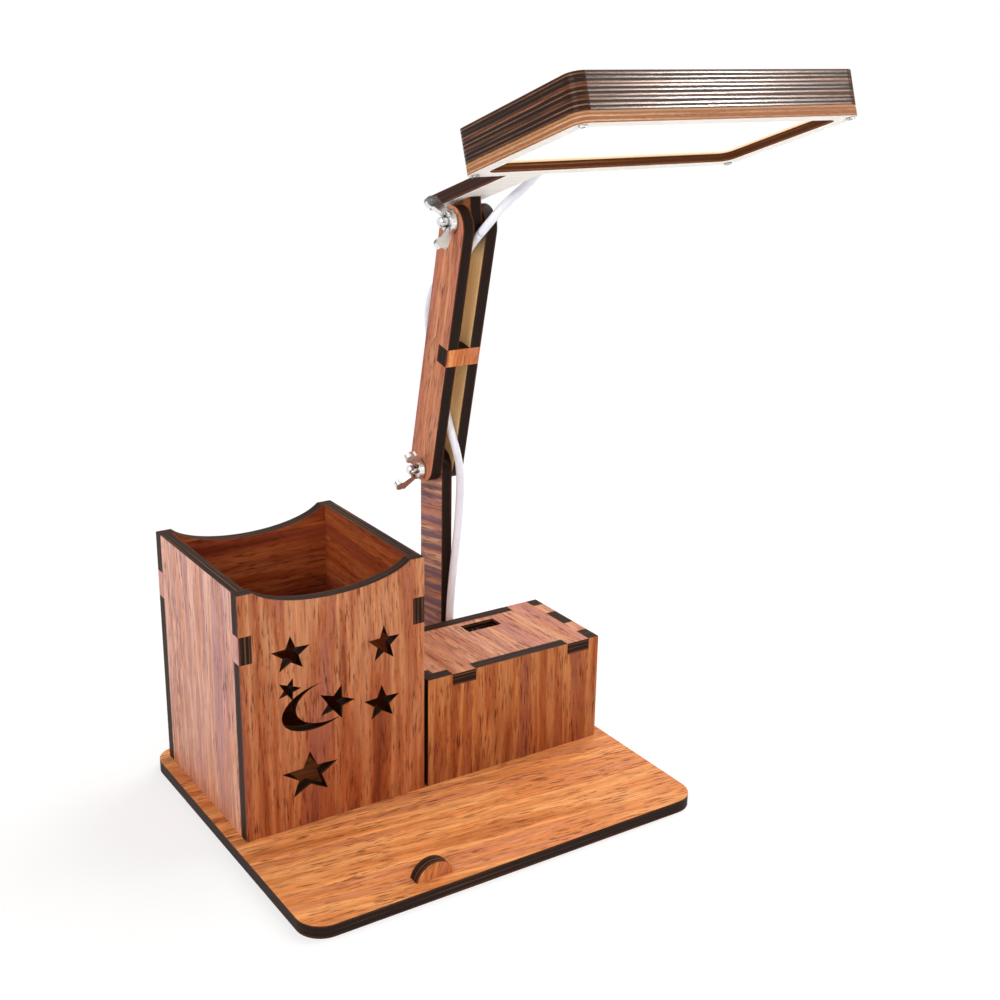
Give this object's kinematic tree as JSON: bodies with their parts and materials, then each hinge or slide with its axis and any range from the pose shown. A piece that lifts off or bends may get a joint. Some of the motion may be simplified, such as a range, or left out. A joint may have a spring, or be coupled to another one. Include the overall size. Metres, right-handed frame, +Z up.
{
  "type": "desk lamp with pen holder",
  "caption": "Slot-together wooden desk lamp: a swing arm with a tilting light panel behind a battery box, beside an open pen holder with star and moon cut-outs.",
  "frame": {"origin": "middle of the base board's underside", "axes": "+Z up, +X to the right as seen from the front, -Y towards the front"},
  "size_m": [0.225, 0.1516, 0.2836],
  "materials": {
    "walnut_board": "satin",
    "zinc_hardware": "bright",
    "diffuser_sheet": "frosted",
    "white_cable": "gloss",
    "black_plastic": "matte",
    "cell_wrap": "gloss",
    "contact_metal": "satin",
    "led_board_white": "matte",
    "led_chip": "gloss"
  },
  "bodies": {
    "base": {"base_board": "walnut_board", "phone_stop": "walnut_board", "holder_front": "walnut_board", "holder_back": "walnut_board", "holder_left": "walnut_board", "holder_right": "walnut_board", "box_front": "walnut_board", "box_back": "walnut_board", "box_left": "walnut_board", "box_right": "walnut_board", "battery_holder": "black_plastic", "battery_cells": "cell_wrap", "battery_contacts": "contact_metal", "wire_terminal": "black_plastic", "post": "walnut_board", "cable_post_run": "white_cable", "cable_box_tail": "white_cable"},
    "lid": {"box_lid": "walnut_board", "switch_body": "black_plastic"},
    "switch": {"switch_knob": "black_plastic"},
    "arm": {"arm_plate_left": "walnut_board", "arm_plate_right": "walnut_board", "arm_spacer": "walnut_board", "lower_bolt": "zinc_hardware", "lower_washers": "zinc_hardware", "upper_bolt": "zinc_hardware", "upper_washers": "zinc_hardware", "cable_head_loop": "white_cable", "cable_arm_run": "white_cable"},
    "lower_nut": {"lower_wing_nut": "zinc_hardware"},
    "upper_nut": {"upper_wing_nut": "zinc_hardware"},
    "head": {"hinge_plate": "walnut_board", "head_bottom_frame": "walnut_board", "diffuser": "diffuser_sheet", "head_lower_frame": "walnut_board", "head_upper_frame": "walnut_board", "head_cover": "walnut_board", "head_screws": "zinc_hardware", "led_board": "led_board_white", "led_chips": "led_chip", "led_terminal": "black_plastic", "cable_head_tail": "white_cable"}
  },
  "joints": [
    {"name": "arm_swing", "type": "hinge", "parent": "base", "child": "arm", "pos_m": [0.0392, 0.0528, 0.1166], "axis": [1, 0, 0], "range_deg": [-30, 35], "deforming": ["cable_post_run"]},
    {"name": "head_tilt", "type": "hinge", "parent": "arm", "child": "head", "pos_m": [0.0392, 0.02831, 0.22353], "axis": [1, 0, 0], "range_deg": [-10, 70], "deforming": ["cable_head_loop"]},
    {"name": "lower_nut_turn", "type": "hinge", "parent": "arm", "child": "lower_nut", "pos_m": [0.0392, 0.0528, 0.1166], "axis": [1, 0, 0], "continuous": true},
    {"name": "upper_nut_turn", "type": "hinge", "parent": "arm", "child": "upper_nut", "pos_m": [0.0392, 0.02831, 0.22353], "axis": [1, 0, 0], "continuous": true},
    {"name": "lid_lift", "type": "slide", "parent": "base", "child": "lid", "axis": [0, 0, 1], "range_m": [0, 0.03]},
    {"name": "switch_slide", "type": "slide", "parent": "lid", "child": "switch", "axis": [1, 0, 0], "range_m": [0, 0.006]}
  ]
}
